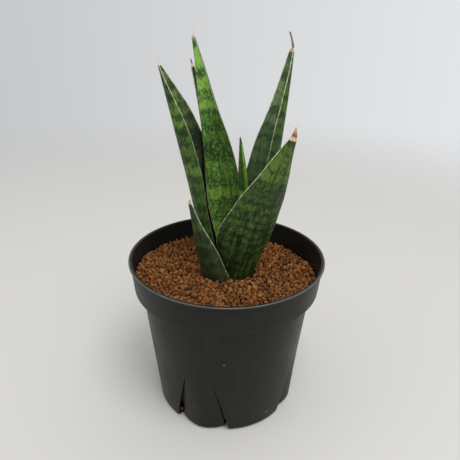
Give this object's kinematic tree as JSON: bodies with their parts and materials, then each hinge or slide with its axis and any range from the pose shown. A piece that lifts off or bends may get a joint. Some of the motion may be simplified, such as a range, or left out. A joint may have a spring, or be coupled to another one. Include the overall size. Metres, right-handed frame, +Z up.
{
  "type": "potted snake plant",
  "caption": "Young snake plant with pointed, channelled, banded leaves, standing in a round slit-sided nursery pot filled with baked clay granules.",
  "frame": {"origin": "on the pot's axis, in the plane that the pot stands on", "axes": "+Z up, -Y towards the front of the plant, where the broad front leaf and the short front leaf show their outer faces, +X to its right"},
  "size_m": [0.12, 0.12, 0.2307],
  "materials": {
    "pot_plastic": "satin black moulded plastic",
    "clay_granules": "rough, porous, baked clay grains",
    "rhizome_skin": "dull fibrous skin",
    "leaf_blade": "waxy skin with light and dark green bands and a thin pale margin"
  },
  "bodies": {
    "root": {"pot": "pot_plastic", "substrate": "clay_granules", "rhizome": "rhizome_skin", "leaf_left": "leaf_blade", "leaf_tall": "leaf_blade", "leaf_back": "leaf_blade", "leaf_young": "leaf_blade", "leaf_right": "leaf_blade", "leaf_front_right": "leaf_blade", "leaf_front_left": "leaf_blade"}
  },
  "joints": []
}
